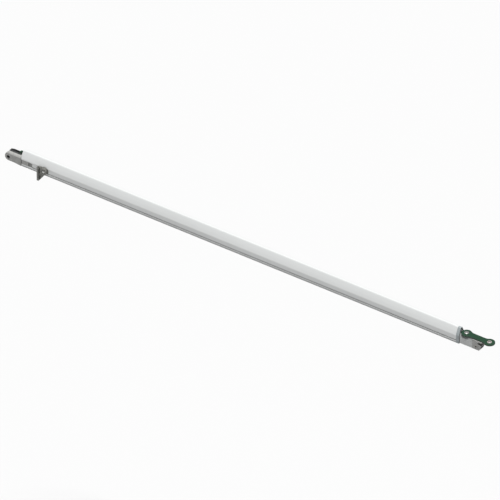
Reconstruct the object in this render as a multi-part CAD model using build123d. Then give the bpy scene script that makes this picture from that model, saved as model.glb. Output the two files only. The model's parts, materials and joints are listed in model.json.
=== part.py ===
from build123d import *
import math
import os

os.makedirs("parts", exist_ok=True)

# Telescoping awning rafter arm, in millimetres.
# The origin is the centre of the fork's pivot. +X runs along the arm to the link plate,
# the latch is on the -Y side and +Z is up.

# Outer rail
rail_start = 46.0           # pivot to the rail's mouth
rail_length = 1519.7
rail_width = 28.0
rail_bottom = -14.1
rail_shoulder = 11.75       # the flat side ends here and the crown starts
rail_apex = 36.2
rail_wall = 2.0
crown_lean = 18.0           # degrees that a crown leans in at its shoulder
crown_tip_radius = 5.0
foot_radius = 1.5
web_thickness = 1.6
upper_groove = (15.7, 2.8, 1.3)     # drop below the shoulder, height and depth
lower_groove = (22.7, 2.2, 1.0)
window_length = 38.5        # side window, open to the mouth
window_top_drop = 2.75      # below the shoulder

# Inner rail and its sliding fit
slide_gap = 0.3             # between the rails, all round
inner_wall = 1.8
inner_reach = 54.1          # stands out of the outer rail, past the collar's back face
inner_shoulder_drop = 0.95  # its shoulder is this much below the outer one
inner_apex = 27.05
inner_tip_radius = 5.0
inner_tail = 112.0
travel = 750.0

# Fork head
nose_radius = 11.75
head_apex = 18.3
head_gap = 1.5              # head to the rail's mouth
slot_width = 12.0
slot_end = 40.0
taper_start = 20.0          # the underside drops from here to the rail's bottom
shank_length = 44.0         # inside the rail
pad_length = 25.5           # the part of the shank that fills the side window
pad_clearance = 0.15
fit_clearance = 0.1
pivot_radius = 4.1
bush_wall = 1.9
liner_thickness = 1.5
liner_rise = 2.2            # the liners stand this far above the cheeks
liner_inset = 2.75
liner_hole_gap = 0.2        # beyond the pivot bore, all round

# Tongue plate
tongue_gap = 0.5            # tongue plate to each liner
tongue_front = 24.0
tongue_brow = 9.0           # length of the sloping front
tongue_top = 27.0
slot_sill = 1.5             # fall of the tongue's top from the rail to its front
tongue_bar = (-8.0, 9.0)    # the bar's lower and upper edges
tongue_overrun = 6.0       # past the shank
tongue_pin_radius = 2.0

# Rivets
rivet_radius = 2.5
rivet_head_radius = 4.0
rivet_head_height = 1.2
fork_rivet_inset = 9.0
fork_rivet_pitch = 12.0

# Collar
collar_length = 10.0
tongue_key_length = 22.0    # key in the crown chamber
wiper_width = 0.8
wiper_depth = 3.0
collar_recess_radius = 2.6
collar_recess_depth = 3.0
collar_screw_length = 24.0
collar_screw_radius = 1.5

# Guide shoe
shoe_head_length = 8.0
shoe_spigot_length = 25.0
lug_width = 5.0
lug_gap = 0.5
lug_top = 31.5
shoe_rivet_radius = 2.0
shoe_rivet_insets = (7.5, 17.5)     # from the inner rail's tail

# Latch
latch_x = 129.5
latch_z = 3.5
hub_radius = 11.0
base_radius = 11.5
base_thickness = 3.0
base_tail = 20.0
washer_thickness = 0.5
lever_gap = 0.2
lever_hub_thickness = 5.0
lever_plate_thickness = 2.4
lever_blade_thickness = 7.0
blade_left = -21.5          # from the hub's axis
blade_right = -15.5
blade_top = 11.0
blade_bottom = -36.0
gusset_foot = -11.5
gusset_x = 3.0
rib_width = 2.6
stem_radius = 4.0
running_clearance = 0.05
brake_radius = 4.9
brake_hole_gap = 0.15
shoe_disc_thickness = 1.2
brake_travel = 1.2
pad_thickness = 1.4
screw_head_radius = 5.6
screw_head_height = 3.4
screw_recess_depth = 2.4
screw_tip_radius = 2.5

# End casting
end_length = 32.7
end_top = 19.6
notch_start = 18.2          # from the casting's back face
notch_bottom = 6.5
notch_height = 9.3
lower_jaw_back = 9.5        # the floor stops this far short of the tip
jaw_tip_back = 2.0
bumper_width = 15.0
bumper_length = 6.0
bumper_rise = 1.0           # stands out of the jaw's sloping face
bumper_margins = (3.3, 4.0) # below and above it in the jaw
end_shank_length = 40.0
flat_gap = 1.0              # the crown is cut flat from this far behind the link's eye
end_edge_radius = 0.8
clevis_rivet_x = 13.0
clevis_rivet_z = 0.0
clevis_rivet_radius = 3.0
clevis_rivet_head = 4.8
clevis_rivet_bore = 2.0
clevis_rivet_bore_depth = 5.0
clevis_pin_radius = 2.0
clevis_pin_insets = (5.0, 13.0)

# Link plate
link_pitch = 78.8
link_pivot_eye_radius = 15.5
link_free_eye_radius = 16.2
link_waist = 19.0
link_blend = 20.0
link_thickness = 4.0
link_edge_radius = 0.6
link_back = 26.8            # left eye, back from the casting's back face
link_washer_thickness = 0.5
link_washer_radius = 10.0
link_gap = 0.2
link_hole_radius = 4.5
link_rivet_head_radius = 7.2
link_rivet_head_height = 2.2
link_rivet_depth = 18.0
link_eye_bore = 4.3
link_bush_wall = 2.2

# Places worked out from the sizes
rail_end = rail_start + rail_length
collar_end = rail_end + collar_length
cavity_bottom = rail_bottom + rail_wall
side = rail_width / 2
inner_width = rail_width - 2 * rail_wall - 2 * slide_gap
inner_side = inner_width / 2
inner_bottom = cavity_bottom + slide_gap
inner_shoulder = rail_shoulder - inner_shoulder_drop
inner_end = rail_end + inner_reach
web_bottom = inner_apex + slide_gap
web_top = web_bottom + web_thickness
window_top = rail_shoulder - window_top_drop
bush_outer_radius = pivot_radius + bush_wall
liner_hole_radius = pivot_radius + liner_hole_gap
tongue_thickness = slot_width - 2 * liner_thickness - 2 * tongue_gap
window_bottom = rail_shoulder - upper_groove[0] - upper_groove[1] / 2
head_end = rail_start - head_gap
shank_end = rail_start + shank_length
end_tip = inner_end + end_length
link_x = inner_end - link_back
link_bush_outer_radius = link_eye_bore + link_bush_wall
link_bottom = end_top + link_washer_thickness + link_gap
link_top = link_bottom + link_thickness
base_face = -side - base_thickness
lever_back = base_face - washer_thickness - lever_gap
lever_face = lever_back - lever_hub_thickness
pad_face = -inner_side - slide_gap
disc_inner = pad_face - pad_thickness
disc_outer = disc_inner - shoe_disc_thickness
recess_floor = lever_face + screw_recess_depth
head_back = recess_floor - lever_gap


def block(x0, x1, y0, y1, z0, z1):
    size = Box(x1 - x0, y1 - y0, z1 - z0)
    return Pos((x0 + x1) / 2, (y0 + y1) / 2, (z0 + z1) / 2) * size


def rod_y(x, z, radius, y0, y1):
    return Pos(x, (y0 + y1) / 2, z) * Rot(90, 0, 0) * Cylinder(radius, y1 - y0)


def rod_z(x, y, radius, z0, z1):
    return Pos(x, y, (z0 + z1) / 2) * Cylinder(radius, z1 - z0)


def rod_x(y, z, radius, x0, x1):
    return Pos((x0 + x1) / 2, y, z) * Rot(0, 90, 0) * Cylinder(radius, x1 - x0)


# A bar along X with flat sides and a pointed crown: two flank arcs that meet a tip arc smoothly.
def bullet_bar(x0, x1, width, bottom, shoulder, apex, tip_radius, foot):
    half = width / 2
    lean = math.radians(crown_lean)
    tip_z = apex - tip_radius
    rise = tip_z - shoulder
    spread = half * math.cos(lean) - rise * math.sin(lean) - tip_radius
    flank_radius = (half ** 2 + rise ** 2 - tip_radius ** 2) / (2 * spread)
    flank_y = flank_radius * math.cos(lean) - half
    flank_z = shoulder - flank_radius * math.sin(lean)
    reach = flank_radius - tip_radius
    join_y = -tip_radius * flank_y / reach
    join_z = tip_z + tip_radius * (tip_z - flank_z) / reach
    low = math.atan2(shoulder - flank_z, -half - flank_y)
    high = math.atan2(join_z - flank_z, join_y - flank_y)
    middle = (low + high) / 2
    mid_y = flank_y + flank_radius * math.cos(middle)
    mid_z = flank_z + flank_radius * math.sin(middle)
    cut = foot * (1 - math.sqrt(0.5))
    left = [
        Line((x0, -half, bottom + foot), (x0, -half, shoulder)),
        ThreePointArc((x0, -half, shoulder), (x0, mid_y, mid_z), (x0, join_y, join_z)),
        ThreePointArc((x0, -half, bottom + foot), (x0, cut - half, bottom + cut), (x0, foot - half, bottom)),
    ]
    right = [mirror(edge, about=Plane.XZ) for edge in left]
    tip = ThreePointArc((x0, join_y, join_z), (x0, 0, apex), (x0, -join_y, join_z))
    floor = Line((x0, foot - half, bottom), (x0, half - foot, bottom))
    outline = make_face([*left, *right, tip, floor])
    return extrude(outline, amount=x1 - x0, dir=(1, 0, 0))


def inner_bar(x0, x1, inset):
    return bullet_bar(x0, x1, inner_width - 2 * inset, inner_bottom + inset, inner_shoulder,
                      inner_apex - inset, inner_tip_radius - inset, foot_radius)


def outer_bar(x0, x1, inset):
    return bullet_bar(x0, x1, rail_width - 2 * inset, rail_bottom + inset, rail_shoulder,
                      rail_apex - inset, crown_tip_radius - inset, foot_radius)


# A plate across Y with a round nose about the pivot and a larger arc up to its top.
def nosed_plate(radius, top, x1, y0, y1):
    half_chord = math.sqrt(0.5)
    nose = ThreePointArc((0, y0, -radius), (-radius * half_chord, y0, -radius * half_chord), (-radius, y0, 0))
    brow = ThreePointArc((-radius, y0, 0), (top * (1 - half_chord) - radius, y0, top * half_chord),
                         (top - radius, y0, top))
    back = Polyline((top - radius, y0, top), (x1, y0, top), (x1, y0, -radius), (0, y0, -radius))
    return extrude(make_face([*nose.edges(), *brow.edges(), *back.edges()]), amount=y1 - y0, dir=(0, 1, 0))


# A flat plate across Y with a straight-sided outline in X and Z.
def plate_y(points, y0, y1):
    outline = Polyline(*[(x, y0, z) for x, z in points], close=True)
    return extrude(make_face(outline.edges()), amount=y1 - y0, dir=(0, 1, 0))


def make_outer_rail():
    cavity = outer_bar(rail_start, rail_end, rail_wall)
    web = cavity & block(rail_start, rail_end, -side, side, web_bottom, web_top)
    rail = outer_bar(rail_start, rail_end, 0) - cavity + web
    for drop, height, depth in (upper_groove, lower_groove):
        middle = rail_shoulder - drop
        for edge in (-side, side):
            rail -= block(rail_start, rail_end, edge - depth, edge + depth,
                          middle - height / 2, middle + height / 2)
    rail -= block(rail_start, rail_start + window_length, -side, side, window_bottom, window_top)
    lug_room = lug_width / 2 + lug_gap
    rail -= block(inner_tail - shoe_head_length - lug_gap, inner_tail + travel + lug_gap,
                  -lug_room, lug_room, web_bottom, web_top)
    rail -= rod_y(latch_x, latch_z, brake_radius + brake_hole_gap, -side, -side + rail_wall)
    for x in fork_rivet_places():
        rail -= rod_z(x, 0, rivet_radius, rail_bottom, cavity_bottom)
    for x in latch_rivet_places():
        rail -= rod_y(x, latch_z, clevis_pin_radius, -side, -side + rail_wall)
    return rail


def fork_rivet_places():
    first = rail_start + fork_rivet_inset
    return [first, first + fork_rivet_pitch]


def latch_rivet_places():
    return [latch_x - base_tail + rivet_head_radius, latch_x - base_radius + rivet_radius / 2]


def tongue_pin_places():
    return [rail_start + pad_length / 2, rail_start + pad_length - rivet_head_radius]


def make_fork_head():
    arch = ThreePointArc((-nose_radius, -side, rail_shoulder), (-nose_radius, 0, head_apex),
                         (-nose_radius, side, rail_shoulder))
    base = Polyline((-nose_radius, side, rail_shoulder), (-nose_radius, side, rail_bottom),
                    (-nose_radius, -side, rail_bottom), (-nose_radius, -side, rail_shoulder))
    bar = extrude(make_face([*arch.edges(), *base.edges()]), amount=head_end + nose_radius, dir=(1, 0, 0))
    taper = plate_y([(taper_start, -nose_radius), (head_end, rail_bottom), (head_end, 0), (taper_start, 0)],
                    -side, side)
    head = bar & (nosed_plate(nose_radius, head_apex, head_end, -side, side) + taper)
    shank = outer_bar(head_end, shank_end, rail_wall + fit_clearance)
    shank = shank & block(head_end, shank_end, -side, side, rail_bottom, web_bottom - fit_clearance)
    head += shank
    pad_start = rail_start + head_gap
    head += block(pad_start, rail_start + pad_length, -side, side,
                  window_bottom + pad_clearance, window_top - pad_clearance)
    half_slot = slot_width / 2
    head -= block(-nose_radius, slot_end, -half_slot, half_slot, rail_bottom, head_apex)
    head -= block(slot_end, shank_end, -tongue_thickness / 2, tongue_thickness / 2, *tongue_bar)
    head -= rod_y(0, 0, bush_outer_radius, -side, side)
    for x in fork_rivet_places():
        head -= rod_z(x, 0, rivet_radius, rail_bottom, tongue_bar[0])
    for x in tongue_pin_places():
        head -= rod_y(x, 0, tongue_pin_radius, -side, side)
    return head


# The casting is two halves that meet on the centre plane.
def make_fork_half(y0, y1):
    return make_fork_head() & block(-nose_radius, shank_end, y0, y1, rail_bottom, rail_apex)


def make_fork_liners():
    outer = slot_width / 2
    radius = nose_radius - liner_inset
    top = head_apex + liner_rise
    liners = []
    for y0 in (-outer, outer - liner_thickness):
        plate = nosed_plate(radius, top, slot_end, y0, y0 + liner_thickness)
        liners.append(plate - rod_y(0, 0, liner_hole_radius, y0, y0 + liner_thickness))
    return Compound(children=liners)


def make_fork_bushes():
    bushes = []
    for y0, y1 in ((-side, -slot_width / 2), (slot_width / 2, side)):
        bushes.append(rod_y(0, 0, bush_outer_radius, y0, y1) - rod_y(0, 0, pivot_radius, y0, y1))
    return Compound(children=bushes)


def make_fork_rivets():
    rivets = []
    for x in fork_rivet_places():
        head = rod_z(x, 0, rivet_head_radius, rail_bottom - rivet_head_height, rail_bottom)
        rivets.append(head + rod_z(x, 0, rivet_radius, rail_bottom, tongue_bar[0]))
    return Compound(children=rivets)


def make_tongue_plate():
    half = tongue_thickness / 2
    low, high = tongue_bar
    tail = shank_end + tongue_overrun
    points = [(tongue_front, low), (tongue_front, high), (tongue_front + tongue_brow, tongue_top - slot_sill),
              (slot_end, tongue_top), (slot_end, high), (tail, high), (tail, low)]
    plate = plate_y(points, -half, half)
    for x in tongue_pin_places():
        plate -= rod_y(x, 0, tongue_pin_radius, -half, half)
    return plate


def make_tongue_pins():
    return Compound(children=[rod_y(x, 0, tongue_pin_radius, -side, side) for x in tongue_pin_places()])


def make_collar():
    collar = outer_bar(rail_end, collar_end, 0)
    collar -= inner_bar(rail_end, collar_end, -slide_gap)
    collar -= wiper_seat(0)
    key = outer_bar(rail_end - tongue_key_length, rail_end, rail_wall + fit_clearance)
    key = key & block(rail_end - tongue_key_length, rail_end, -side, side, web_top + fit_clearance, rail_apex)
    collar += key
    collar -= rod_x(0, screw_height(), collar_recess_radius, collar_end - collar_recess_depth, collar_end)
    collar -= rod_x(0, screw_height(), collar_screw_radius, rail_end - tongue_key_length, collar_end)
    return collar


def screw_height():
    return (web_top + rail_apex - rail_wall) / 2


def wiper_seat(inset):
    start = collar_end - wiper_depth
    return inner_bar(start, collar_end, -slide_gap - wiper_width + inset) - inner_bar(start, collar_end, -slide_gap)


def make_collar_screw():
    start = collar_end - collar_recess_depth
    head = rod_x(0, screw_height(), collar_recess_radius - fit_clearance, start, start + collar_screw_radius)
    return head + rod_x(0, screw_height(), collar_screw_radius, start - collar_screw_length, start)


def make_inner_rail():
    rail = inner_bar(inner_tail, inner_end, 0) - inner_bar(inner_tail, inner_end, inner_wall)
    rail -= block(link_x - link_pivot_eye_radius - flat_gap, inner_end, -side, side, end_top, inner_apex)
    for x in shoe_rivet_places():
        rail -= rod_z(x, 0, shoe_rivet_radius, inner_bottom, inner_bottom + inner_wall)
    for x in clevis_pin_places():
        rail -= rod_y(x, 0, clevis_pin_radius, -inner_side, inner_side)
    return rail


def shoe_rivet_places():
    return [inner_tail + inset for inset in shoe_rivet_insets]


def clevis_pin_places():
    return [inner_end - inset for inset in clevis_pin_insets]


def make_guide_shoe():
    back = inner_tail - shoe_head_length
    shoe = inner_bar(back, inner_tail, 0)
    shoe += inner_bar(inner_tail, inner_tail + shoe_spigot_length, inner_wall + fit_clearance)
    shoe += block(back, inner_tail, -lug_width / 2, lug_width / 2, 0, lug_top)
    for x in shoe_rivet_places():
        shoe -= rod_z(x, 0, shoe_rivet_radius, inner_bottom, inner_shoulder)
    return shoe


def make_shoe_rivets():
    return Compound(children=[rod_z(x, 0, shoe_rivet_radius, inner_bottom, inner_shoulder)
                              for x in shoe_rivet_places()])


def make_latch_base():
    base = rod_y(latch_x, latch_z, base_radius, base_face, -side)
    half = base_radius - rivet_radius
    base += block(latch_x - base_tail, latch_x, base_face, -side, latch_z - half, latch_z + half)
    base -= rod_y(latch_x, latch_z, brake_radius + brake_hole_gap,
                  disc_outer - brake_travel - slide_gap, -side)
    base -= rod_y(latch_x, latch_z, stem_radius + running_clearance, base_face, -side)
    for x in latch_rivet_places():
        base -= rod_y(x, latch_z, clevis_pin_radius, base_face, -side)
    return base


def make_latch_rivets():
    return Compound(children=[rod_y(x, latch_z, clevis_pin_radius, base_face, -side + rail_wall)
                              for x in latch_rivet_places()])


def make_latch_washer():
    ring = rod_y(latch_x, latch_z, hub_radius - rivet_head_height, base_face - washer_thickness, base_face)
    return ring - rod_y(latch_x, latch_z, stem_radius + slide_gap, base_face - washer_thickness, base_face)


def make_latch_lever():
    plate_face = lever_back - lever_plate_thickness
    blade_face = lever_back - lever_blade_thickness
    hub = rod_y(latch_x, latch_z, hub_radius, lever_face, lever_back)
    left = latch_x + blade_left
    right = latch_x + blade_right
    top = latch_z + blade_top
    bottom = latch_z + blade_bottom
    foot = latch_z + gusset_foot
    gusset = plate_y([(left, top), (left, bottom), (right, bottom), (latch_x + gusset_x, foot),
                      (latch_x, latch_z), (right, top)], plate_face, lever_back)
    blade = plate_y([(left, top), (left, bottom), (right, bottom), (right, top - blade_top / 2)],
                    blade_face, lever_back)
    middle = (bottom + latch_z) / 2
    rib = plate_y([(right, middle), (right, middle + rib_width * 2), (latch_x, latch_z + rib_width),
                   (latch_x, latch_z - rib_width)], lever_face, lever_back)
    lever = hub + gusset + blade + rib
    lever -= rod_y(latch_x, latch_z, stem_radius + running_clearance, blade_face, lever_back)
    lever -= rod_y(latch_x, latch_z, screw_head_radius + slide_gap, blade_face, recess_floor)
    return lever


def make_latch_screw():
    dome_radius = (screw_head_radius ** 2 + screw_head_height ** 2) / (2 * screw_head_height)
    ball = Pos(latch_x, head_back - screw_head_height + dome_radius, latch_z) * Sphere(dome_radius)
    head = ball & rod_y(latch_x, latch_z, screw_head_radius, head_back - screw_head_height, head_back)
    stem = rod_y(latch_x, latch_z, stem_radius, head_back, disc_outer)
    return head + stem + rod_y(latch_x, latch_z, screw_tip_radius, disc_outer, disc_inner)


def make_brake_shoe():
    disc = rod_y(latch_x, latch_z, brake_radius, disc_outer, disc_inner)
    return disc - rod_y(latch_x, latch_z, screw_tip_radius, disc_outer, disc_inner)


def make_brake_pad():
    return rod_y(latch_x, latch_z, brake_radius, disc_inner, pad_face)


def make_end_clevis():
    back = inner_end
    jaw_end = end_tip - lower_jaw_back
    jaw_tip = end_tip - jaw_tip_back
    outline = [(back, inner_bottom), (jaw_end, inner_bottom), (jaw_tip, notch_bottom),
               (end_tip, notch_bottom), (end_tip, end_top), (back, end_top)]
    head = plate_y(outline, -inner_side, inner_side)
    long_edges = head.edges().filter_by(Axis.X)
    head = fillet(long_edges, end_edge_radius)
    roof = notch_bottom + notch_height
    notch_end = back + notch_start + notch_height / 2
    head -= block(notch_end, end_tip, -inner_side, inner_side, notch_bottom, roof)
    head -= rod_y(notch_end, (notch_bottom + roof) / 2, notch_height / 2, -inner_side, inner_side)
    head -= make_end_bumper()
    shank = inner_bar(back - end_shank_length, back, inner_wall + fit_clearance)
    shank = shank & block(back - end_shank_length, back, -side, side, inner_bottom, end_top)
    casting = head + shank
    casting -= rod_z(link_x, 0, link_hole_radius - running_clearance, link_top - link_rivet_depth, end_top)
    casting -= rod_y(back + clevis_rivet_x, clevis_rivet_z, clevis_rivet_radius, -inner_side, inner_side)
    for x in clevis_pin_places():
        casting -= rod_y(x, 0, clevis_pin_radius, -inner_side, inner_side)
    return casting


# The bumper's front is parallel to the jaw's sloping face.
def make_end_bumper():
    low = inner_bottom + bumper_margins[0]
    high = notch_bottom - bumper_margins[1]
    slope = (lower_jaw_back - jaw_tip_back) / (notch_bottom - inner_bottom)
    jaw_end = end_tip - lower_jaw_back
    front = [jaw_end + slope * (z - inner_bottom) + bumper_rise for z in (low, high)]
    back = jaw_end - bumper_length
    return plate_y([(back, low), (front[0], low), (front[1], high), (back, high)],
                   -bumper_width / 2, bumper_width / 2)


def make_clevis_rivet():
    x = inner_end + clevis_rivet_x
    face = inner_side + rivet_head_height
    rivet = rod_y(x, clevis_rivet_z, clevis_rivet_radius, -inner_side, inner_side)
    rivet += rod_y(x, clevis_rivet_z, clevis_rivet_head, -face, -inner_side)
    rivet += rod_y(x, clevis_rivet_z, clevis_rivet_head, inner_side, face)
    return rivet - rod_y(x, clevis_rivet_z, clevis_rivet_bore, -face, clevis_rivet_bore_depth - face)


def make_clevis_pins():
    return Compound(children=[rod_y(x, 0, clevis_pin_radius, -inner_side, inner_side)
                              for x in clevis_pin_places()])


def make_end_link():
    eyes = Pos(link_x, 0) * Circle(link_pivot_eye_radius)
    eyes += Pos(link_x + link_pitch, 0) * Circle(link_free_eye_radius)
    outline = eyes + Pos(link_x + link_pitch / 2, 0) * Rectangle(link_pitch, link_waist)
    corners = [v for v in outline.vertices() if abs(abs(v.Y) - link_waist / 2) < fit_clearance]
    outline = fillet(corners, link_blend)
    plate = Pos(0, 0, link_bottom) * extrude(outline, amount=link_thickness)
    rims = plate.edges().filter_by_position(Axis.Z, link_top, link_top)
    plate = fillet(rims, link_edge_radius)
    plate -= rod_z(link_x, 0, link_hole_radius, link_bottom, link_top)
    return plate - rod_z(link_x + link_pitch, 0, link_bush_outer_radius, link_bottom, link_top)


def make_link_rivet():
    bottom = link_top + link_gap
    dome_radius = (link_rivet_head_radius ** 2 + link_rivet_head_height ** 2) / (2 * link_rivet_head_height)
    ball = Pos(link_x, 0, bottom + link_rivet_head_height - dome_radius) * Sphere(dome_radius)
    head = ball & rod_z(link_x, 0, link_rivet_head_radius, bottom, bottom + link_rivet_head_height)
    return head + rod_z(link_x, 0, link_hole_radius - running_clearance, link_top - link_rivet_depth, bottom)


def make_link_washer():
    top = end_top + link_washer_thickness
    ring = rod_z(link_x, 0, link_washer_radius, end_top, top)
    return ring - rod_z(link_x, 0, link_hole_radius - running_clearance, end_top, top)


def make_link_bush():
    x = link_x + link_pitch
    sleeve = rod_z(x, 0, link_bush_outer_radius, link_bottom, link_top)
    return sleeve - rod_z(x, 0, link_eye_bore, link_bottom, link_top)


pieces = {
    "outer_rail": make_outer_rail,
    "fork_near": lambda: make_fork_half(-side, 0),
    "fork_far": lambda: make_fork_half(0, side),
    "fork_liners": make_fork_liners,
    "fork_bushes": make_fork_bushes,
    "fork_rivets": make_fork_rivets,
    "tongue_plate": make_tongue_plate,
    "tongue_pins": make_tongue_pins,
    "collar": make_collar,
    "rail_wiper": lambda: wiper_seat(0),
    "collar_screw": make_collar_screw,
    "inner_rail": make_inner_rail,
    "guide_shoe": make_guide_shoe,
    "shoe_rivets": make_shoe_rivets,
    "latch_base": make_latch_base,
    "latch_rivets": make_latch_rivets,
    "latch_washer": make_latch_washer,
    "latch_lever": make_latch_lever,
    "latch_screw": make_latch_screw,
    "brake_shoe": make_brake_shoe,
    "brake_pad": make_brake_pad,
    "end_clevis": make_end_clevis,
    "end_bumper": make_end_bumper,
    "clevis_rivet": make_clevis_rivet,
    "clevis_pins": make_clevis_pins,
    "end_link": make_end_link,
    "link_rivet": make_link_rivet,
    "link_washer": make_link_washer,
    "link_bush": make_link_bush,
}

for name, make in pieces.items():
    export_step(make(), f"parts/{name}.step")
    print(name)
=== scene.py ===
import bmesh
import bpy
import json
import math
from mathutils import Matrix, Vector


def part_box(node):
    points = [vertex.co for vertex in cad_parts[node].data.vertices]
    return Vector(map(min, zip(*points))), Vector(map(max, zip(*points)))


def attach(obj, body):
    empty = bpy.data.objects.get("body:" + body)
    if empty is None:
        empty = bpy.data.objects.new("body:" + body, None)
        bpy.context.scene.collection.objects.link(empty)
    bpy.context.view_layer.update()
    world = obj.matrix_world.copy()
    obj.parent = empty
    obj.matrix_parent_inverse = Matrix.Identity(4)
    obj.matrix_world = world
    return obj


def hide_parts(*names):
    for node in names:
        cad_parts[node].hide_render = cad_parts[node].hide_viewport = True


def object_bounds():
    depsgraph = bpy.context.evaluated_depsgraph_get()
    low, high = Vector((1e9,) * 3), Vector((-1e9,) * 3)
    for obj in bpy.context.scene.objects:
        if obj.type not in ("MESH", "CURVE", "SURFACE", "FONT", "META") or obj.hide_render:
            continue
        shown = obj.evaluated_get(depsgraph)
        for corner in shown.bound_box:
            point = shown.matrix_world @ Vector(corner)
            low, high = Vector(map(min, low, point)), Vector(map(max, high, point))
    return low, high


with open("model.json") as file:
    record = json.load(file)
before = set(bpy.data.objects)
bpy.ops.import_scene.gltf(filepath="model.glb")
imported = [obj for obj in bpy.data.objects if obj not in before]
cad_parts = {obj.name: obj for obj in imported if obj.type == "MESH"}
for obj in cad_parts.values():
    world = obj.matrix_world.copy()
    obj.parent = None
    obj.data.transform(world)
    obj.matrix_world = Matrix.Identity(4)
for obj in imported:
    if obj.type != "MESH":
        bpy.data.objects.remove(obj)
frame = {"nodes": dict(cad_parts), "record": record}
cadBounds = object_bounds()
cadNodes = frame["nodes"]
mm = 0.001
print("frame loaded:", len(cadNodes), "nodes")


# node groups that several finishes share
def newGroup(name, inputs, outputs):
    group = bpy.data.node_groups.new(name, "ShaderNodeTree")
    for label, kind, value in inputs:
        socket = group.interface.new_socket(name=label, in_out="INPUT", socket_type=kind)
        socket.default_value = value
    for label, kind in outputs:
        group.interface.new_socket(name=label, in_out="OUTPUT", socket_type=kind)
    start = group.nodes.new("NodeGroupInput")
    end = group.nodes.new("NodeGroupOutput")
    return group, start, end


def addNode(tree, kind, values=None, **settings):
    node = tree.nodes.new(kind)
    for key, value in settings.items():
        setattr(node, key, value)
    for key, value in (values or {}).items():
        node.inputs[key].default_value = value
    return node


# grain: a noise stretched along any axis, in object coordinates
def makeGrainGroup():
    group, start, end = newGroup(
        "grain",
        [("Scale", "NodeSocketFloat", 400.0), ("Stretch", "NodeSocketVector", (1, 1, 1)),
         ("Detail", "NodeSocketFloat", 4.0), ("Contrast", "NodeSocketFloat", 1.0)],
        [("Height", "NodeSocketFloat"), ("Mask", "NodeSocketFloat")])
    link = group.links.new
    place = addNode(group, "ShaderNodeTexCoord")
    stretch = addNode(group, "ShaderNodeVectorMath", operation="MULTIPLY")
    noise = addNode(group, "ShaderNodeTexNoise", {"Roughness": 0.55})
    centre = addNode(group, "ShaderNodeMath", {1: 0.5}, operation="SUBTRACT")
    gain = addNode(group, "ShaderNodeMath", operation="MULTIPLY")
    back = addNode(group, "ShaderNodeMath", {1: 0.5}, operation="ADD", use_clamp=True)
    link(place.outputs["Object"], stretch.inputs[0])
    link(start.outputs["Stretch"], stretch.inputs[1])
    link(stretch.outputs[0], noise.inputs["Vector"])
    link(start.outputs["Scale"], noise.inputs["Scale"])
    link(start.outputs["Detail"], noise.inputs["Detail"])
    link(noise.outputs["Fac"], centre.inputs[0])
    link(centre.outputs[0], gain.inputs[0])
    link(start.outputs["Contrast"], gain.inputs[1])
    link(gain.outputs[0], back.inputs[0])
    link(noise.outputs["Fac"], end.inputs["Height"])
    link(back.outputs[0], end.inputs["Mask"])
    return group


# a noise in object coordinates, at the group's own scale
def addObjectNoise(group, start, values):
    place = addNode(group, "ShaderNodeTexCoord")
    noise = addNode(group, "ShaderNodeTexNoise", values)
    group.links.new(place.outputs["Object"], noise.inputs["Vector"])
    group.links.new(start.outputs["Scale"], noise.inputs["Scale"])
    return noise.outputs["Fac"]


# two masks multiplied together and by the group's own amount
def sendMask(group, start, end, first, second):
    link = group.links.new
    both = addNode(group, "ShaderNodeMath", operation="MULTIPLY")
    amount = addNode(group, "ShaderNodeMath", operation="MULTIPLY", use_clamp=True)
    link(first, both.inputs[0])
    link(second, both.inputs[1])
    link(both.outputs[0], amount.inputs[0])
    link(start.outputs["Amount"], amount.inputs[1])
    link(amount.outputs[0], end.inputs["Mask"])


# edge wear: where a rounded normal leaves the true one, broken up by a noise
def makeWearGroup():
    group, start, end = newGroup(
        "edgeWear",
        [("Width", "NodeSocketFloat", 0.0006), ("Amount", "NodeSocketFloat", 0.5),
         ("Scale", "NodeSocketFloat", 300.0)],
        [("Mask", "NodeSocketFloat")])
    link = group.links.new
    rounded = addNode(group, "ShaderNodeBevel", samples=4)
    true = addNode(group, "ShaderNodeNewGeometry")
    match = addNode(group, "ShaderNodeVectorMath", operation="DOT_PRODUCT")
    turn = addNode(group, "ShaderNodeMath", {0: 1.0}, operation="SUBTRACT")
    reach = addNode(group, "ShaderNodeMapRange", {"From Min": 0.01, "From Max": 0.12})
    patchy = addNode(group, "ShaderNodeMapRange", {"From Min": 0.38, "From Max": 0.66})
    link(start.outputs["Width"], rounded.inputs["Radius"])
    link(rounded.outputs["Normal"], match.inputs[0])
    link(true.outputs["Normal"], match.inputs[1])
    link(match.outputs["Value"], turn.inputs[1])
    link(turn.outputs[0], reach.inputs["Value"])
    link(addObjectNoise(group, start, {"Detail": 5.0, "Roughness": 0.65}), patchy.inputs["Value"])
    sendMask(group, start, end, reach.outputs["Result"], patchy.outputs["Result"])
    return group


# dust: a soft film on what faces up
def makeDustGroup():
    group, start, end = newGroup(
        "dust",
        [("Amount", "NodeSocketFloat", 0.15), ("Scale", "NodeSocketFloat", 60.0)],
        [("Mask", "NodeSocketFloat")])
    link = group.links.new
    shape = addNode(group, "ShaderNodeNewGeometry")
    split = addNode(group, "ShaderNodeSeparateXYZ")
    upward = addNode(group, "ShaderNodeMapRange", {"From Min": 0.2, "From Max": 1.0})
    link(shape.outputs["Normal"], split.inputs[0])
    link(split.outputs["Z"], upward.inputs["Value"])
    film = addObjectNoise(group, start, {"Detail": 6.0, "Roughness": 0.7})
    sendMask(group, start, end, upward.outputs["Result"], film)
    return group


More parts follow.
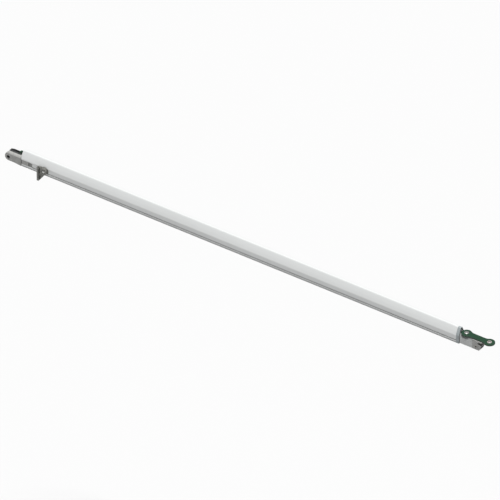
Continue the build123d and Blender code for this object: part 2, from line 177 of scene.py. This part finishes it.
# painted shade: darker in grooves and recesses wherever an occlusion test finds them, broken up by a noise
def makePaintedShadeGroup():
    group, start, end = newGroup(
        "paintedShade",
        [("Distance", "NodeSocketFloat", 0.003), ("Amount", "NodeSocketFloat", 0.6),
         ("Scale", "NodeSocketFloat", 220.0)],
        [("Mask", "NodeSocketFloat")])
    link = group.links.new
    shade = addNode(group, "ShaderNodeAmbientOcclusion", samples=8, only_local=False)
    shut = addNode(group, "ShaderNodeMapRange", {"From Min": 0.95, "From Max": 0.55})
    patchy = addNode(group, "ShaderNodeMapRange", {"From Min": 0.25, "From Max": 0.7, "To Min": 0.7})
    link(start.outputs["Distance"], shade.inputs["Distance"])
    link(shade.outputs["AO"], shut.inputs["Value"])
    link(addObjectNoise(group, start, {"Detail": 5.0, "Roughness": 0.6}), patchy.inputs["Value"])
    sendMask(group, start, end, shut.outputs["Result"], patchy.outputs["Result"])
    return group


grainGroup = makeGrainGroup()
wearGroup = makeWearGroup()
dustGroup = makeDustGroup()
paintedShadeGroup = makePaintedShadeGroup()
print("node groups made")


# finishes: one dictionary each, colours linear, widths and bump depths in metres; the colour and amount that
# darken each one's grooves and recesses are painted shade
# what most of them share
plainLook = {"cloudStretch": (1, 1, 1), "grainStretch": (1, 1, 1), "metallic": 0.0, "coat": 0.0}

railPaint = {
    **plainLook,
    "color": (0.80, 0.815, 0.81), "altColor": (0.76, 0.775, 0.77), "wearColor": (0.50, 0.51, 0.52),
    "cloudScale": 9.0, "cloudStretch": (0.3, 1, 1), "cloudContrast": 1.6,
    "grainScale": 620.0, "grainDepth": 0.00006,
    "roughness": (0.30, 0.40), "wearWidth": 0.0005, "wear": 0.35,
    "dustColor": (0.62, 0.61, 0.58), "dust": 0.10, "coat": 0.1,
    # the dark lines in the rail's grooves are painted shade
    "paintedShadeColor": (0.12, 0.12, 0.12), "paintedShade": 0.95}

castGrey = {
    **plainLook,
    "color": (0.43, 0.43, 0.415), "altColor": (0.33, 0.33, 0.32), "wearColor": (0.62, 0.62, 0.60),
    "cloudScale": 110.0, "cloudContrast": 2.4,
    "grainScale": 900.0, "grainDepth": 0.00022,
    "roughness": (0.42, 0.62), "metallic": 0.15, "wearWidth": 0.0009, "wear": 0.8,
    "dustColor": (0.5, 0.49, 0.46), "dust": 0.12,
    # strong painted shade darkens the end casting's notch and recesses
    "paintedShadeColor": (0.06, 0.06, 0.056), "paintedShade": 0.85}

blackNylon = {
    **plainLook,
    "color": (0.014, 0.014, 0.015), "altColor": (0.022, 0.022, 0.022), "wearColor": (0.07, 0.07, 0.07),
    "cloudScale": 140.0, "cloudContrast": 1.5,
    "grainScale": 1500.0, "grainDepth": 0.00008,
    "roughness": (0.45, 0.60), "wearWidth": 0.0005, "wear": 0.5,
    "dustColor": (0.2, 0.2, 0.19), "dust": 0.10,
    "paintedShadeColor": (0.008, 0.008, 0.008), "paintedShade": 0.5}

greenPaint = {
    **plainLook,
    "color": (0.014, 0.058, 0.028), "altColor": (0.010, 0.044, 0.021), "wearColor": (0.20, 0.22, 0.20),
    "cloudScale": 70.0, "cloudContrast": 2.0,
    "grainScale": 700.0, "grainDepth": 0.00010,
    "roughness": (0.44, 0.58), "wearWidth": 0.0008, "wear": 0.7,
    "dustColor": (0.20, 0.24, 0.20), "dust": 0.03,
    "paintedShadeColor": (0.006, 0.012, 0.008), "paintedShade": 0.6}

collarPlastic = {
    **plainLook,
    "color": (0.40, 0.44, 0.45), "altColor": (0.35, 0.385, 0.395), "wearColor": (0.52, 0.56, 0.57),
    "cloudScale": 60.0, "cloudContrast": 1.5,
    "grainScale": 1300.0, "grainDepth": 0.00010,
    "roughness": (0.42, 0.55), "wearWidth": 0.0006, "wear": 0.5,
    "dustColor": (0.5, 0.5, 0.47), "dust": 0.08,
    "paintedShadeColor": (0.13, 0.14, 0.145), "paintedShade": 0.6}

railSilver = {
    **plainLook,
    "color": (0.50, 0.512, 0.508), "altColor": (0.44, 0.45, 0.447), "wearColor": (0.78, 0.79, 0.79),
    "cloudScale": 30.0, "cloudStretch": (0.08, 2.5, 2.5), "cloudContrast": 1.8,
    "grainScale": 1400.0, "grainStretch": (0.015, 1, 1), "grainDepth": 0.00005,
    "roughness": (0.28, 0.42), "metallic": 0.30, "wearWidth": 0.0006, "wear": 0.6,
    "dustColor": (0.5, 0.49, 0.47), "dust": 0.06,
    "paintedShadeColor": (0.18, 0.185, 0.185), "paintedShade": 0.6}

brightSteel = {
    **plainLook,
    "color": (0.74, 0.74, 0.72), "altColor": (0.60, 0.60, 0.58), "wearColor": (0.88, 0.88, 0.87),
    "cloudScale": 180.0, "cloudContrast": 2.0,
    "grainScale": 2200.0, "grainDepth": 0.00004,
    "roughness": (0.22, 0.36), "metallic": 0.75, "wearWidth": 0.0005, "wear": 0.5,
    "dustColor": (0.5, 0.5, 0.48), "dust": 0.05,
    "paintedShadeColor": (0.16, 0.155, 0.15), "paintedShade": 0.6}

darkSteel = {
    **plainLook,
    "color": (0.10, 0.10, 0.10), "altColor": (0.06, 0.06, 0.06), "wearColor": (0.42, 0.42, 0.41),
    "cloudScale": 160.0, "cloudContrast": 2.0,
    "grainScale": 1800.0, "grainDepth": 0.00006,
    "roughness": (0.35, 0.50), "metallic": 0.6, "wearWidth": 0.0004, "wear": 0.7,
    "dustColor": (0.3, 0.3, 0.28), "dust": 0.05,
    "paintedShadeColor": (0.02, 0.02, 0.02), "paintedShade": 0.6}

latchCast = {
    **plainLook,
    "color": (0.235, 0.235, 0.215), "altColor": (0.165, 0.165, 0.15), "wearColor": (0.52, 0.52, 0.50),
    "cloudScale": 150.0, "cloudContrast": 2.2,
    "grainScale": 1000.0, "grainDepth": 0.00018,
    "roughness": (0.38, 0.55), "metallic": 0.25, "wearWidth": 0.0009, "wear": 0.9,
    "dustColor": (0.4, 0.39, 0.36), "dust": 0.10,
    "paintedShadeColor": (0.045, 0.045, 0.04), "paintedShade": 0.75}

wiperRubber = {
    **plainLook,
    "color": (0.018, 0.019, 0.020), "altColor": (0.028, 0.029, 0.030), "wearColor": (0.06, 0.06, 0.06),
    "cloudScale": 200.0, "cloudContrast": 1.6,
    "grainScale": 1700.0, "grainDepth": 0.00010,
    "roughness": (0.60, 0.75), "wearWidth": 0.0004, "wear": 0.3,
    "dustColor": (0.2, 0.2, 0.19), "dust": 0.12,
    "paintedShadeColor": (0.008, 0.008, 0.008), "paintedShade": 0.5}

bushGrey = {
    **plainLook,
    "color": (0.42, 0.385, 0.36), "altColor": (0.35, 0.325, 0.305), "wearColor": (0.62, 0.60, 0.58),
    "cloudScale": 160.0, "cloudContrast": 1.6,
    "grainScale": 1500.0, "grainDepth": 0.00008,
    "roughness": (0.42, 0.56), "wearWidth": 0.0004, "wear": 0.5,
    "dustColor": (0.4, 0.4, 0.38), "dust": 0.06,
    "paintedShadeColor": (0.1, 0.1, 0.1), "paintedShade": 0.5}

linerGrey = {
    **plainLook,
    "color": (0.115, 0.117, 0.12), "altColor": (0.085, 0.087, 0.09), "wearColor": (0.24, 0.245, 0.25),
    "cloudScale": 150.0, "cloudContrast": 1.6,
    "grainScale": 1500.0, "grainDepth": 0.00008,
    "roughness": (0.45, 0.60), "wearWidth": 0.0005, "wear": 0.5,
    "dustColor": (0.3, 0.3, 0.29), "dust": 0.08,
    "paintedShadeColor": (0.03, 0.03, 0.03), "paintedShade": 0.6}


def placeGroup(tree, group, values):
    node = tree.nodes.new("ShaderNodeGroup")
    node.node_tree = group
    for key, value in values.items():
        node.inputs[key].default_value = value
    return node


def mixColors(tree, factor, first, second):
    node = addNode(tree, "ShaderNodeMix", data_type="RGBA")
    tree.links.new(factor, node.inputs[0])
    for socket, value in ((node.inputs[6], first), (node.inputs[7], second)):
        if isinstance(value, tuple):
            socket.default_value = (*value, 1)
        else:
            tree.links.new(value, socket)
    return node.outputs[2]


# scales per metre, details, lengths in metres: the same on every finish
patterns = {"cloudDetail": 6.0, "grainDetail": 3.0, "grainContrast": 1.0, "wearScale": 420.0, "dustScale": 85.0,
            "paintedShadeScale": 220.0, "paintedShadeDistance": 0.003, "coatRoughness": 0.25, "bumpStrength": 0.6}


def makeFinish(name, look):
    finish = bpy.data.materials.new(name)
    finish.use_nodes = True
    tree = finish.node_tree
    link = tree.links.new
    shader = tree.nodes["Principled BSDF"]
    shader.inputs["Metallic"].default_value = look["metallic"]
    shader.inputs["Coat Weight"].default_value = look["coat"]
    shader.inputs["Coat Roughness"].default_value = patterns["coatRoughness"]
    cloud = placeGroup(tree, grainGroup, {
        "Scale": look["cloudScale"], "Stretch": look["cloudStretch"], "Detail": patterns["cloudDetail"],
        "Contrast": look["cloudContrast"]})
    grain = placeGroup(tree, grainGroup, {
        "Scale": look["grainScale"], "Stretch": look["grainStretch"], "Detail": patterns["grainDetail"],
        "Contrast": patterns["grainContrast"]})
    wear = placeGroup(tree, wearGroup, {
        "Width": look["wearWidth"], "Amount": look["wear"], "Scale": patterns["wearScale"]})
    dust = placeGroup(tree, dustGroup, {"Amount": look["dust"], "Scale": patterns["dustScale"]})
    # painted shade: an occlusion test darkens grooves and recesses towards a set dark colour
    paintedShade = placeGroup(tree, paintedShadeGroup, {
        "Distance": patterns["paintedShadeDistance"], "Amount": look["paintedShade"], "Scale": patterns["paintedShadeScale"]})
    base = mixColors(tree, cloud.outputs["Mask"], look["color"], look["altColor"])
    shaded = mixColors(tree, paintedShade.outputs["Mask"], base, look["paintedShadeColor"])
    worn = mixColors(tree, wear.outputs["Mask"], shaded, look["wearColor"])
    dusty = mixColors(tree, dust.outputs["Mask"], worn, look["dustColor"])
    link(dusty, shader.inputs["Base Color"])
    smoothest, roughest = look["roughness"]
    rough = addNode(tree, "ShaderNodeMapRange", {"To Min": smoothest, "To Max": roughest})
    link(grain.outputs["Height"], rough.inputs["Value"])
    link(rough.outputs["Result"], shader.inputs["Roughness"])
    bump = addNode(tree, "ShaderNodeBump", {
        "Strength": patterns["bumpStrength"], "Distance": look["grainDepth"]})
    link(grain.outputs["Height"], bump.inputs["Height"])
    link(bump.outputs["Normal"], shader.inputs["Normal"])
    return finish


# the tubular rivet's own steel, duller than its slot
dullSteel = {
    **brightSteel,
    "color": (0.36, 0.35, 0.335), "altColor": (0.27, 0.265, 0.25), "metallic": 0.35, "roughness": (0.45, 0.6)}

finishes = {
    "dull_steel": makeFinish("dullSteel", dullSteel),
    "rail_paint": makeFinish("railPaint", railPaint),
    "cast_grey": makeFinish("castGrey", castGrey),
    "black_nylon": makeFinish("blackNylon", blackNylon),
    "green_paint": makeFinish("greenPaint", greenPaint),
    "collar_plastic": makeFinish("collarPlastic", collarPlastic),
    "rail_silver": makeFinish("railSilver", railSilver),
    "bright_steel": makeFinish("brightSteel", brightSteel),
    "dark_steel": makeFinish("darkSteel", darkSteel),
    "latch_cast": makeFinish("latchCast", latchCast),
    "wiper_rubber": makeFinish("wiperRubber", wiperRubber),
    "bush_grey": makeFinish("bushGrey", bushGrey),
    "liner_grey": makeFinish("linerGrey", linerGrey),
}
print("finishes made:", len(finishes))


# every CAD node takes the finish of its slot
nodeSlots = {part["node"]: part["material_slot"] for part in frame["record"]["subparts"]}
nodeBodies = {node: body for body, names in frame["record"]["behaviour"]["bodies"].items()
              for node in names}
for nodeName, slotName in nodeSlots.items():
    for materialSlot in cadNodes[nodeName].material_slots:
        materialSlot.material = finishes[slotName]
print("finishes on the CAD nodes")


# a bmesh made into an object that rides on its body
def finishPiece(bm, name, body, slot, smoothAngle=35):
    mesh = bpy.data.meshes.new(name)
    bm.to_mesh(mesh)
    bm.free()
    mesh.shade_smooth()
    mesh.set_sharp_from_angle(angle=math.radians(smoothAngle))
    mesh.materials.append(finishes[slot])
    piece = bpy.data.objects.new(name, mesh)
    bpy.context.scene.collection.objects.link(piece)
    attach(piece, body)
    return piece


# angles in degrees, the merging distance in millimetres
rounding = {"segments": 2, "sharpAngle": 28, "flatAngle": 0.6, "mergeDistance": 0.002, "smoothAngle": 35,
            "flatWeight": 100}


# a copy of a CAD node with its sharp edges rounded
def roundedCopy(node, name, width, smoothAngle, look):
    bm = bmesh.new()
    bm.from_mesh(cadNodes[node].data)
    bmesh.ops.remove_doubles(bm, verts=bm.verts[:], dist=look["mergeDistance"] * mm)
    bmesh.ops.dissolve_limit(bm, angle_limit=math.radians(look["flatAngle"]),
                             verts=bm.verts[:], edges=bm.edges[:])
    sharp = [edge for edge in bm.edges
             if len(edge.link_faces) == 2 and edge.calc_face_angle(0) > math.radians(look["sharpAngle"])]
    bmesh.ops.bevel(bm, geom=sharp, affect="EDGES", offset=width, offset_type="OFFSET",
                    segments=look["segments"], profile=0.5, material=-1, clamp_overlap=True)
    piece = finishPiece(bm, name, nodeBodies[node], nodeSlots[node], smoothAngle)
    # large flats keep flat shading up to their rounded edges
    flats = piece.modifiers.new("flats", "WEIGHTED_NORMAL")
    flats.weight = look["flatWeight"]
    flats.keep_sharp = True
    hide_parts(node)
    return piece


# a profile of radius and height in millimetres, spun about Z
def spunShape(profile, steps):
    bm = bmesh.new()
    points = [bm.verts.new((radius * mm, 0, height * mm)) for radius, height in profile]
    for first, second in zip(points, points[1:]):
        bm.edges.new((first, second))
    bmesh.ops.spin(bm, geom=bm.verts[:] + bm.edges[:], axis=(0, 0, 1), cent=(0, 0, 0),
                   angle=math.tau, steps=steps, use_merge=True)
    bmesh.ops.remove_doubles(bm, verts=bm.verts[:], dist=0.001 * mm)
    bmesh.ops.recalc_face_normals(bm, faces=bm.faces[:])
    return bm


# several bmeshes as one piece
def joinParts(parts, name, body, slot, smoothAngle=35):
    shapes = bmesh.new()
    for part in parts:
        mesh = bpy.data.meshes.new("partTemp")
        part.to_mesh(mesh)
        part.free()
        shapes.from_mesh(mesh)
        bpy.data.meshes.remove(mesh)
    return finishPiece(shapes, name, body, slot, smoothAngle)


# stands a shape that was made about Z along another axis
def turnTo(bm, axis, place):
    turn = Vector((0, 0, 1)).rotation_difference(Vector(axis)).to_matrix().to_4x4()
    bmesh.ops.transform(bm, matrix=Matrix.Translation(place) @ turn, verts=bm.verts[:])
    return bm


def middle(node):
    low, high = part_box(node)
    return (low + high) / 2


# a dome's rim to its crown, as points for a spun profile
def domeArc(radius, height, base, count=8):
    bulge = (radius ** 2 + height ** 2) / (2 * height)
    reach = math.asin(radius / bulge)
    return [(bulge * math.sin(reach * (1 - step / count)),
             base + height - bulge * (1 - math.cos(reach * (1 - step / count)))) for step in range(count)]


# rounded copies of the castings, rails and plates: edge widths in millimetres
edgeWidths = {
    "outer_rail": 0.25, "fork_near": 0.7, "fork_far": 0.7, "fork_liners": 0.35, "fork_bushes": 0.3,
    "tongue_plate": 0.5, "collar": 0.35, "rail_wiper": 0.1, "inner_rail": 0.25, "guide_shoe": 0.5,
    "latch_base": 0.45, "latch_lever": 0.7, "latch_washer": 0.1, "end_clevis": 0.5, "end_bumper": 0.5,
    "end_link": 0.35, "link_bush": 0.3, "link_washer": 0.12, "clevis_pins": 0.2, "tongue_pins": 0.2,
    "latch_rivets": 0.2, "brake_pad": 0.15}
# the crown's low corners stay crisp
smoothAngles = {"outer_rail": 14, "inner_rail": 14, "collar": 14}
for nodeName, edgeWidth in edgeWidths.items():
    roundedCopy(nodeName, nodeName + "_shell", edgeWidth * mm,
                smoothAngles.get(nodeName, rounding["smoothAngle"]), rounding)
print("rounded copies made:", len(edgeWidths))


# latch screw: a plain polished dome on its shoulder. Lengths here and below are in millimetres,
# angles in degrees, and steps are the sides of a full turn.
latchScrew = {"headRadius": 5.6, "headHeight": 3.4, "stemRadius": 4.0, "tipRadius": 2.5,
              "tipLength": 1.2, "rim": 0.5, "steps": 48, "smoothAngle": 40}


def makeLatchScrew(look):
    low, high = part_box("latch_screw")
    length = (high.y - low.y) / mm
    head = length - look["headHeight"]
    dome = domeArc(look["headRadius"] - look["rim"] / 2, look["headHeight"] - look["rim"], head + look["rim"])
    profile = [(0, 0), (look["tipRadius"], 0), (look["tipRadius"], look["tipLength"]),
               (look["stemRadius"], look["tipLength"]), (look["stemRadius"], head), (look["headRadius"], head)]
    profile += dome + [(0, length)]
    bm = spunShape(profile, look["steps"])
    centre = middle("latch_screw")
    turnTo(bm, (0, -1, 0), (centre.x, high.y, centre.z))
    piece = finishPiece(bm, "latchScrewHead", "brake", "bright_steel", look["smoothAngle"])
    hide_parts("latch_screw")


makeLatchScrew(latchScrew)
print("latch screw made")


# link rivet: a broad domed head with a rolled rim
linkRivet = {"headRadius": 7.2, "headHeight": 2.2, "rim": 0.7, "shankRadius": 4.45, "underLip": 0.25,
             "lipHeight": 0.3, "overLip": 0.15, "steps": 64, "smoothAngle": 40}


def makeLinkRivet(look):
    low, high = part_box("link_rivet")
    length = (high.z - low.z) / mm
    head = length - look["headHeight"]
    flat = look["headRadius"] - look["rim"]
    dome = domeArc(flat, look["headHeight"] - look["rim"], head + look["rim"])
    shank, edge, lip = look["shankRadius"], look["headRadius"], look["lipHeight"]
    profile = [(0, 0), (shank, 0), (shank, head), (edge - look["underLip"], head), (edge, head + lip),
               (edge - look["overLip"], head + 2 * lip)]
    profile += dome + [(0, length)]
    bm = spunShape(profile, look["steps"])
    centre = middle("link_rivet")
    turnTo(bm, (0, 0, 1), (centre.x, centre.y, low.z))
    piece = finishPiece(bm, "linkRivetHead", "slider", "bright_steel", look["smoothAngle"])
    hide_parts("link_rivet")


makeLinkRivet(linkRivet)
print("link rivet made")


# tubular rivet across the end casting, with rolled lips
clevisRivet = {"shankRadius": 3.0, "headRadius": 4.8, "headHeight": 1.2, "boreRadius": 2.0, "boreDepth": 5.0,
               "farCorner": 0.5, "neckIn": 0.2, "lipHeight": 0.35, "lipShoulder": (0.45, 0.1), "lipCrest": 1.1,
               "throat": (0.8, 0.15), "drillTip": 0.6, "steps": 48, "smoothAngle": 40}


def makeClevisRivet(look):
    low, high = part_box("clevis_rivet")
    length = (high.y - low.y) / mm
    rim, head, shank, bore = look["headRadius"], look["headHeight"], look["shankRadius"], look["boreRadius"]
    top, floor, corner = length - head, length - look["boreDepth"], look["farCorner"]
    shoulderIn, shoulderDrop = look["lipShoulder"]
    throatOut, throatDrop = look["throat"]
    farHead = [(0, 0), (rim - corner, 0), (rim, corner), (rim - look["neckIn"], head), (shank, head)]
    nearLip = [(shank, top), (rim - look["neckIn"], top), (rim, top + look["lipHeight"]),
               (rim - shoulderIn, length - shoulderDrop), (rim - look["lipCrest"], length)]
    openBore = [(bore + throatOut, length - throatDrop), (bore, length - throatOut), (bore, floor),
                (0, floor - look["drillTip"])]
    profile = farHead + nearLip + openBore
    bm = spunShape(profile, look["steps"])
    centre = middle("clevis_rivet")
    turnTo(bm, (0, -1, 0), (centre.x, high.y, centre.z))
    piece = finishPiece(bm, "clevisRivetRolled", "slider", "bright_steel", look["smoothAngle"])
    piece.data.materials[0] = finishes["dull_steel"]
    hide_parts("clevis_rivet")


makeClevisRivet(clevisRivet)
print("clevis rivet made")


# blind rivets under the fork, each with its mandrel hole
forkRivet = {"shankRadius": 2.5, "headRadius": 4.0, "headHeight": 1.2, "boreRadius": 1.1, "boreDepth": 0.9,
             "rimWidth": 0.3, "rimDrop": 0.1, "steps": 32, "smoothAngle": 40}


def makeForkRivets(look):
    low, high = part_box("fork_rivets")
    length = (high.z - low.z) / mm
    top = length - look["headHeight"]
    dome = domeArc(look["headRadius"], look["headHeight"], top)
    profile = [(0, 0), (look["shankRadius"], 0), (look["shankRadius"], top), (look["headRadius"], top)]
    profile += [point for point in dome[1:] if point[0] > look["boreRadius"] + look["rimWidth"]]
    floor = length - look["boreDepth"]
    profile += [(look["boreRadius"], length - look["rimDrop"]), (look["boreRadius"], floor), (0, floor)]
    inset = look["headRadius"] * mm
    rivets = [turnTo(spunShape(profile, look["steps"]), (0, 0, -1), (x, 0, high.z))
              for x in (low.x + inset, high.x - inset)]
    piece = joinParts(rivets, "forkRivetHeads", "rail", "bright_steel", look["smoothAngle"])
    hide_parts("fork_rivets")


makeForkRivets(forkRivet)
print("fork rivets made")


# a bar with all its edges rounded, sizes and centre in millimetres
def softBar(size, centre, edgeRound):
    bm = bmesh.new()
    bmesh.ops.create_cube(bm, size=1)
    bmesh.ops.scale(bm, vec=[side * mm for side in size], verts=bm.verts[:])
    bmesh.ops.bevel(bm, geom=bm.edges[:], affect="EDGES", offset=edgeRound * mm, segments=3,
                    profile=0.5, material=-1)
    bmesh.ops.translate(bm, vec=[place * mm for place in centre], verts=bm.verts[:])
    return bm


# grip ridges on the pushed side of the lever's blade
gripRidges = {"count": 6, "pitch": 3.4, "height": 1.1, "thick": 0.8, "stand": 0.35, "length": 5.2,
              "start": 3.2, "bladeDepth": 7.0, "round": 0.25}


def makeGripRidges(look):
    low, high = [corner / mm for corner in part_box("latch_lever")]
    x = low.x - look["stand"] + look["thick"] / 2
    y = low.y + look["bladeDepth"] / 2
    size = (look["thick"], look["length"], look["height"])
    parts = [softBar(size, (x, y, low.z + look["start"] + step * look["pitch"]), look["round"])
             for step in range(look["count"])]
    return joinParts(parts, "leverRidges", "lever", "latch_cast")


makeGripRidges(gripRidges)
print("lever ridges made")


# the flange of the bush in the link's free eye
bushFlange = {"inner": 4.35, "outer": 6.9, "height": 0.55, "round": 0.2, "sink": 0.1, "steps": 64,
              "smoothAngle": 40}


def makeBushFlange(look):
    low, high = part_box("link_bush")
    inner, outer, top, soft = look["inner"], look["outer"], look["height"], look["round"]
    profile = [(inner, -look["sink"]), (inner, top - soft), (inner + soft, top), (outer - 2 * soft, top),
               (outer, top - 2 * soft), (outer, -look["sink"]), (inner, -look["sink"])]
    bm = spunShape(profile, look["steps"])
    centre = middle("link_bush")
    turnTo(bm, (0, 0, 1), (centre.x, centre.y, high.z))
    return finishPiece(bm, "linkBushFlange", "link", "bush_grey", look["smoothAngle"])


makeBushFlange(bushFlange)
print("bush flange made")


# floor and light: lengths in metres, angles in degrees
studio = {"floorDrop": 1.4, "floorSize": 5.5, "sunStrength": 4.1, "sunAngle": 16.0, "sunTilt": 7.0,
          "worldLight": 0.06, "floorColor": (0.72, 0.72, 0.72)}


def makeFloor(look):
    bm = bmesh.new()
    bmesh.ops.create_grid(bm, x_segments=1, y_segments=1, size=look["floorSize"])
    bmesh.ops.translate(bm, vec=(0, 0, cadBounds[0][2] - look["floorDrop"]), verts=bm.verts[:])
    mesh = bpy.data.meshes.new("floor")
    bm.to_mesh(mesh)
    bm.free()
    floor = bpy.data.objects.new("floor", mesh)
    bpy.context.scene.collection.objects.link(floor)
    pale = bpy.data.materials.new("floorPale")
    pale.use_nodes = True
    shader = pale.node_tree.nodes["Principled BSDF"]
    shader.inputs["Base Color"].default_value = (*look["floorColor"], 1)
    shader.inputs["Roughness"].default_value = 1.0
    shader.inputs["Specular IOR Level"].default_value = 0.0
    mesh.materials.append(pale)


def makeSun(look):
    lamp = bpy.data.lights.new("skySun", "SUN")
    lamp.energy = look["sunStrength"]
    lamp.angle = math.radians(look["sunAngle"])
    sun = bpy.data.objects.new("skySun", lamp)
    sun.rotation_euler.x = math.radians(look["sunTilt"])
    bpy.context.scene.collection.objects.link(sun)


# a white backdrop that gives only a little light
def makeSky(look):
    world = bpy.data.worlds.new("studio")
    world.use_nodes = True
    bpy.context.scene.world = world
    tree = world.node_tree
    sky = tree.nodes["Background"]
    sky.inputs["Color"].default_value = (1, 1, 1, 1)
    sky.inputs["Strength"].default_value = look["worldLight"]
    seen = addNode(tree, "ShaderNodeBackground", {"Color": (1, 1, 1, 1), "Strength": 1.0})
    path = addNode(tree, "ShaderNodeLightPath")
    pick = addNode(tree, "ShaderNodeMixShader")
    tree.links.new(path.outputs["Is Camera Ray"], pick.inputs[0])
    tree.links.new(sky.outputs[0], pick.inputs[1])
    tree.links.new(seen.outputs[0], pick.inputs[2])
    tree.links.new(pick.outputs[0], tree.nodes["World Output"].inputs["Surface"])


makeFloor(studio)
makeSun(studio)
makeSky(studio)
bpy.context.scene.view_settings.view_transform = "Standard"
print("floor and light made")

# camera: angles in degrees, lens and sensor in millimetres, the framed width and the target in metres
shot = {"azimuth": 35.15, "elevation": 35.26, "lens": 1400.0, "sensor": 36.0, "width": 1.4286,
        "target": (0.8408, 0, 0.0056)}


def makeCamera(look):
    turn, lift = math.radians(look["azimuth"]), math.radians(look["elevation"])
    back = Vector((math.sin(turn) * math.cos(lift), -math.cos(turn) * math.cos(lift), math.sin(lift)))
    distance = look["width"] * look["lens"] / look["sensor"]
    lens = bpy.data.cameras.new("shot")
    lens.lens = look["lens"]
    lens.sensor_width = look["sensor"]
    lens.clip_end = distance * 4
    camera = bpy.data.objects.new("shot", lens)
    camera.location = Vector(look["target"]) + back * distance
    camera.rotation_euler = back.to_track_quat("Z", "Y").to_euler()
    bpy.context.scene.collection.objects.link(camera)
    bpy.context.scene.camera = camera


makeCamera(shot)
print("camera made")
